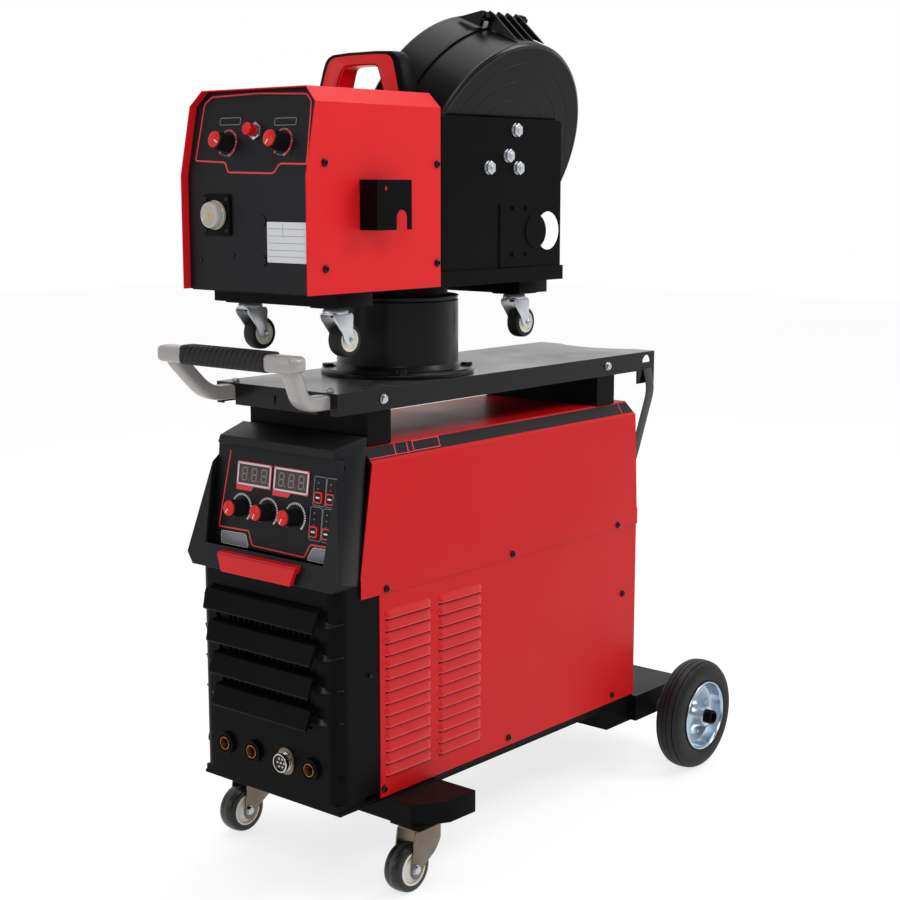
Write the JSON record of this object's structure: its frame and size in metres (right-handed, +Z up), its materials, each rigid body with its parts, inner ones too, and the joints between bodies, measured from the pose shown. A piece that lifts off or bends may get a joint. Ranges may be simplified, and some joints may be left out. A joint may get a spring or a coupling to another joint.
{
  "type": "mig welder on cart",
  "caption": "Inverter welding power source on a wheeled trolley, with a tray, a push handle and a swivelling wire feeder on a pedestal.",
  "frame": {"origin": "on the floor under the middle of the bounding box", "axes": "+Z up, the control panel faces -Y, +X is the right of a user who faces the panel"},
  "size_m": [0.498, 1.0298, 1.3229],
  "materials": {
    "red_paint": "satin powder coat",
    "black_paint": "satin powder coat",
    "grey_paint": "fine-textured powder coat",
    "cast_grey": "satin",
    "black_plastic": "moulded, fine grain",
    "red_plastic": "moulded",
    "grip": "ribbed foam sleeve",
    "webbing": "woven webbing",
    "zinc": "zinc plated",
    "tyre": "moulded rubber",
    "rim_steel": "silver paint",
    "brass": "turned",
    "ivory": "moulded",
    "aluminium": "mill finish",
    "wire": "reel of copper-coated wire"
  },
  "bodies": {
    "root": {"base_frame": "black_paint", "front_outrigger": "black_paint", "rear_axle": "zinc", "side_panel_right": "red_paint", "side_panel_left": "red_paint", "top_cover": "red_paint", "rear_panel": "black_paint", "front_grille": "black_plastic", "front_hood": "black_plastic", "control_panel": "black_plastic", "trim_wedge": "red_plastic", "front_sockets": "brass", "tray": "grey_paint", "tray_legs": "black_paint", "push_handle": "cast_grey", "handle_grip": "grip", "bottle_strap": "webbing", "pedestal_base": "black_paint", "power_module": "aluminium", "fasteners": "zinc"},
    "feeder": {"feeder_base": "black_paint", "feeder_cover": "red_paint", "feeder_front": "black_plastic", "feeder_handle": "black_plastic", "side_plate": "black_paint", "torch_bracket": "black_paint", "torch_socket": "ivory", "drive_unit": "aluminium", "spool_cover_right": "black_plastic", "spool_spindle": "zinc"},
    "fan": {"fan_rotor": "black_plastic"},
    "mains_switch": {"switch_lever": "black_plastic"},
    "castor_right": {"castor_right_fork": "zinc"},
    "castor_right_roller": {"castor_right_wheel": "tyre"},
    "castor_left": {"castor_left_fork": "zinc"},
    "castor_left_roller": {"castor_left_wheel": "tyre"},
    "rear_wheel_right": {"rear_tyre_right": "tyre", "rear_rim_right": "rim_steel"},
    "rear_wheel_left": {"rear_tyre_left": "tyre", "rear_rim_left": "rim_steel"},
    "current_dial": {"knob_current": "black_plastic"},
    "voltage_dial": {"knob_voltage": "black_plastic"},
    "arc_dial": {"knob_arc": "black_plastic"},
    "key_1": {"panel_key_1": "red_plastic"},
    "key_2": {"panel_key_2": "red_plastic"},
    "key_3": {"panel_key_3": "red_plastic"},
    "key_4": {"panel_key_4": "red_plastic"},
    "feeder_castor_front_right": {"feeder_castor_front_right_fork": "zinc"},
    "feeder_castor_front_right_roller": {"feeder_castor_front_right_wheel": "tyre"},
    "feeder_castor_front_left": {"feeder_castor_front_left_fork": "zinc"},
    "feeder_castor_front_left_roller": {"feeder_castor_front_left_wheel": "tyre"},
    "feeder_castor_rear_right": {"feeder_castor_rear_right_fork": "zinc"},
    "feeder_castor_rear_right_roller": {"feeder_castor_rear_right_wheel": "tyre"},
    "feeder_castor_rear_left": {"feeder_castor_rear_left_fork": "zinc"},
    "feeder_castor_rear_left_roller": {"feeder_castor_rear_left_wheel": "tyre"},
    "feeder_dial_left": {"feeder_knob_left": "black_plastic"},
    "feeder_dial_right": {"feeder_knob_right": "black_plastic"},
    "inching": {"inching_button": "red_plastic"},
    "spool_door": {"spool_cover_left": "black_plastic"},
    "reel": {"wire_spool": "wire"}
  },
  "joints": [
    {"name": "fan_spin", "type": "hinge", "parent": "root", "child": "fan", "pos_m": [0, 0.29715, 0.33], "axis": [0, 1, 0], "continuous": true},
    {"name": "mains_switch_turn", "type": "hinge", "parent": "root", "child": "mains_switch", "pos_m": [0.08, 0.33315, 0.56], "axis": [0, 1, 0], "range_deg": [0, 90]},
    {"name": "castor_right_swivel", "type": "hinge", "parent": "root", "child": "castor_right", "pos_m": [0.183, -0.29885, 0.095], "axis": [0, 0, 1], "continuous": true},
    {"name": "castor_right_roll", "type": "hinge", "parent": "castor_right", "child": "castor_right_roller", "pos_m": [0.183, -0.32685, 0.0375], "axis": [1, 0, 0], "continuous": true},
    {"name": "castor_left_swivel", "type": "hinge", "parent": "root", "child": "castor_left", "pos_m": [-0.183, -0.29885, 0.095], "axis": [0, 0, 1], "continuous": true},
    {"name": "castor_left_roll", "type": "hinge", "parent": "castor_left", "child": "castor_left_roller", "pos_m": [-0.183, -0.32685, 0.0375], "axis": [1, 0, 0], "continuous": true},
    {"name": "rear_wheel_right_roll", "type": "hinge", "parent": "root", "child": "rear_wheel_right", "pos_m": [0.225, 0.41485, 0.1], "axis": [1, 0, 0], "continuous": true},
    {"name": "rear_wheel_left_roll", "type": "hinge", "parent": "root", "child": "rear_wheel_left", "pos_m": [-0.225, 0.41485, 0.1], "axis": [1, 0, 0], "continuous": true},
    {"name": "knob_current_turn", "type": "hinge", "parent": "root", "child": "current_dial", "pos_m": [-0.0725, -0.42343, 0.5718], "axis": [0, -0.9924, 0.1231], "range_deg": [-135, 135]},
    {"name": "knob_voltage_turn", "type": "hinge", "parent": "root", "child": "voltage_dial", "pos_m": [-0.0154, -0.42343, 0.5718], "axis": [0, -0.9924, 0.1231], "range_deg": [-135, 135]},
    {"name": "knob_arc_turn", "type": "hinge", "parent": "root", "child": "arc_dial", "pos_m": [0.0429, -0.42343, 0.5718], "axis": [0, -0.9924, 0.1231], "range_deg": [-135, 135]},
    {"name": "key_1_press", "type": "slide", "parent": "root", "child": "key_1", "axis": [0, 0.9924, -0.1231], "range_m": [0, 0.0012], "stiffness_N_per_m": 400, "springref_m": -0.001},
    {"name": "key_2_press", "type": "slide", "parent": "root", "child": "key_2", "axis": [0, 0.9924, -0.1231], "range_m": [0, 0.0012], "stiffness_N_per_m": 400, "springref_m": -0.001},
    {"name": "key_3_press", "type": "slide", "parent": "root", "child": "key_3", "axis": [0, 0.9924, -0.1231], "range_m": [0, 0.0012], "stiffness_N_per_m": 400, "springref_m": -0.001},
    {"name": "key_4_press", "type": "slide", "parent": "root", "child": "key_4", "axis": [0, 0.9924, -0.1231], "range_m": [0, 0.0012], "stiffness_N_per_m": 400, "springref_m": -0.001},
    {"name": "feeder_swivel", "type": "hinge", "parent": "root", "child": "feeder", "pos_m": [0, -0.13885, 0.88], "axis": [0, 0, 1], "continuous": true},
    {"name": "feeder_castor_front_right_swivel", "type": "hinge", "parent": "feeder", "child": "feeder_castor_front_right", "pos_m": [0.09, -0.37135, 0.875], "axis": [0, 0, 1], "continuous": true},
    {"name": "feeder_castor_front_right_roll", "type": "hinge", "parent": "feeder_castor_front_right", "child": "feeder_castor_front_right_roller", "pos_m": [0.09, -0.35335, 0.832], "axis": [1, 0, 0], "continuous": true},
    {"name": "feeder_castor_front_left_swivel", "type": "hinge", "parent": "feeder", "child": "feeder_castor_front_left", "pos_m": [-0.09, -0.37135, 0.875], "axis": [0, 0, 1], "continuous": true},
    {"name": "feeder_castor_front_left_roll", "type": "hinge", "parent": "feeder_castor_front_left", "child": "feeder_castor_front_left_roller", "pos_m": [-0.09, -0.35335, 0.832], "axis": [1, 0, 0], "continuous": true},
    {"name": "feeder_castor_rear_right_swivel", "type": "hinge", "parent": "feeder", "child": "feeder_castor_rear_right", "pos_m": [0.09, 0.04715, 0.875], "axis": [0, 0, 1], "continuous": true},
    {"name": "feeder_castor_rear_right_roll", "type": "hinge", "parent": "feeder_castor_rear_right", "child": "feeder_castor_rear_right_roller", "pos_m": [0.09, 0.06515, 0.832], "axis": [1, 0, 0], "continuous": true},
    {"name": "feeder_castor_rear_left_swivel", "type": "hinge", "parent": "feeder", "child": "feeder_castor_rear_left", "pos_m": [-0.09, 0.04715, 0.875], "axis": [0, 0, 1], "continuous": true},
    {"name": "feeder_castor_rear_left_roll", "type": "hinge", "parent": "feeder_castor_rear_left", "child": "feeder_castor_rear_left_roller", "pos_m": [-0.09, 0.06515, 0.832], "axis": [1, 0, 0], "continuous": true},
    {"name": "feeder_knob_left_turn", "type": "hinge", "parent": "feeder", "child": "feeder_dial_left", "pos_m": [-0.052, -0.45496, 1.11605], "axis": [0, -0.9803, 0.1977], "range_deg": [-135, 135]},
    {"name": "feeder_knob_right_turn", "type": "hinge", "parent": "feeder", "child": "feeder_dial_right", "pos_m": [0.062, -0.45496, 1.11605], "axis": [0, -0.9803, 0.1977], "range_deg": [-135, 135]},
    {"name": "inching_press", "type": "slide", "parent": "feeder", "child": "inching", "axis": [0, 0.9803, -0.1977], "range_m": [0, 0.003], "stiffness_N_per_m": 400, "springref_m": -0.002},
    {"name": "spool_door_open", "type": "hinge", "parent": "feeder", "child": "spool_door", "pos_m": [0.09507, 0.00915, 1.31401], "axis": [0, 1, 0], "range_deg": [0, 100]},
    {"name": "reel_spin", "type": "hinge", "parent": "feeder", "child": "reel", "pos_m": [0.093, 0.00915, 1.0965], "axis": [0.9298, 0, -0.3681], "continuous": true}
  ]
}
